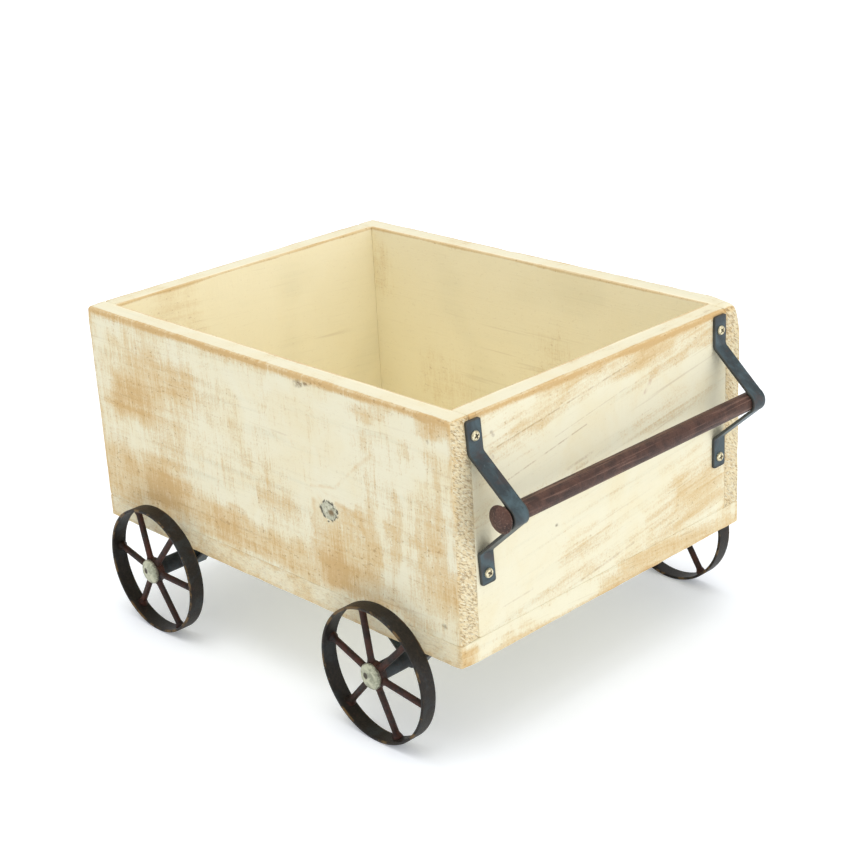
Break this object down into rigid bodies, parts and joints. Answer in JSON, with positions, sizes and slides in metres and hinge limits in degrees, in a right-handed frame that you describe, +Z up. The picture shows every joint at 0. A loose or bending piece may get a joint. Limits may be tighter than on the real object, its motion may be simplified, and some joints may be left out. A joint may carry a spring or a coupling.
{
  "type": "wooden box cart",
  "caption": "Small planter cart: an open wooden box on two fixed axles with free-running spoked metal wheels and a round push bar held in bent straps at one end.",
  "frame": {"origin": "on the floor, below the middle of the whole cart", "axes": "+X along the box towards the push bar, +Y across the cart to its left side, +Z up"},
  "size_m": [0.4302, 0.3418, 0.2475],
  "materials": {
    "pine": "bare, pale and worn boards, darker brown on the handled edges",
    "nail_steel": "dull wire nail",
    "screw_metal": "pale plated screw",
    "bar_iron": "dark maroon-brown rusted rod with lighter streaks",
    "strap_iron": "worn slate blue-grey paint on flat steel",
    "cap_paint": "pale greenish cream paint",
    "wheel_iron": "dark brown iron, rusty on the spokes"
  },
  "bodies": {
    "cart": {"bottom_board": "pine", "side_board_right": "pine", "side_board_left": "pine", "end_board_front": "pine", "end_board_rear": "pine", "corner_nails": "nail_steel", "bottom_nails": "nail_steel", "handle_strap_right": "strap_iron", "handle_strap_left": "strap_iron", "handle_screws": "screw_metal", "axle_front": "strap_iron", "axle_rear": "strap_iron", "axle_strap_front_right": "strap_iron", "axle_strap_front_left": "strap_iron", "axle_strap_rear_right": "strap_iron", "axle_strap_rear_left": "strap_iron", "axle_strap_screws": "screw_metal", "axle_welds": "strap_iron", "axle_caps": "cap_paint"},
    "handle": {"handle_bar": "bar_iron"},
    "front_right_wheel": {"front_right_rim": "wheel_iron", "front_right_spokes": "wheel_iron", "front_right_hub": "wheel_iron"},
    "front_left_wheel": {"front_left_rim": "wheel_iron", "front_left_spokes": "wheel_iron", "front_left_hub": "wheel_iron"},
    "rear_right_wheel": {"rear_right_rim": "wheel_iron", "rear_right_spokes": "wheel_iron", "rear_right_hub": "wheel_iron"},
    "rear_left_wheel": {"rear_left_rim": "wheel_iron", "rear_left_spokes": "wheel_iron", "rear_left_hub": "wheel_iron"}
  },
  "joints": [
    {"name": "handle_turn", "type": "hinge", "parent": "cart", "child": "handle", "pos_m": [0.20538, 0, 0.186], "axis": [0, 1, 0], "continuous": true},
    {"name": "front_right_wheel_spin", "type": "hinge", "parent": "cart", "child": "front_right_wheel", "pos_m": [0.10587, -0.164, 0.0505], "axis": [0, 1, 0], "continuous": true},
    {"name": "front_left_wheel_spin", "type": "hinge", "parent": "cart", "child": "front_left_wheel", "pos_m": [0.10587, 0.164, 0.0505], "axis": [0, 1, 0], "continuous": true},
    {"name": "rear_right_wheel_spin", "type": "hinge", "parent": "cart", "child": "rear_right_wheel", "pos_m": [-0.14413, -0.164, 0.0505], "axis": [0, 1, 0], "continuous": true},
    {"name": "rear_left_wheel_spin", "type": "hinge", "parent": "cart", "child": "rear_left_wheel", "pos_m": [-0.14413, 0.164, 0.0505], "axis": [0, 1, 0], "continuous": true}
  ]
}
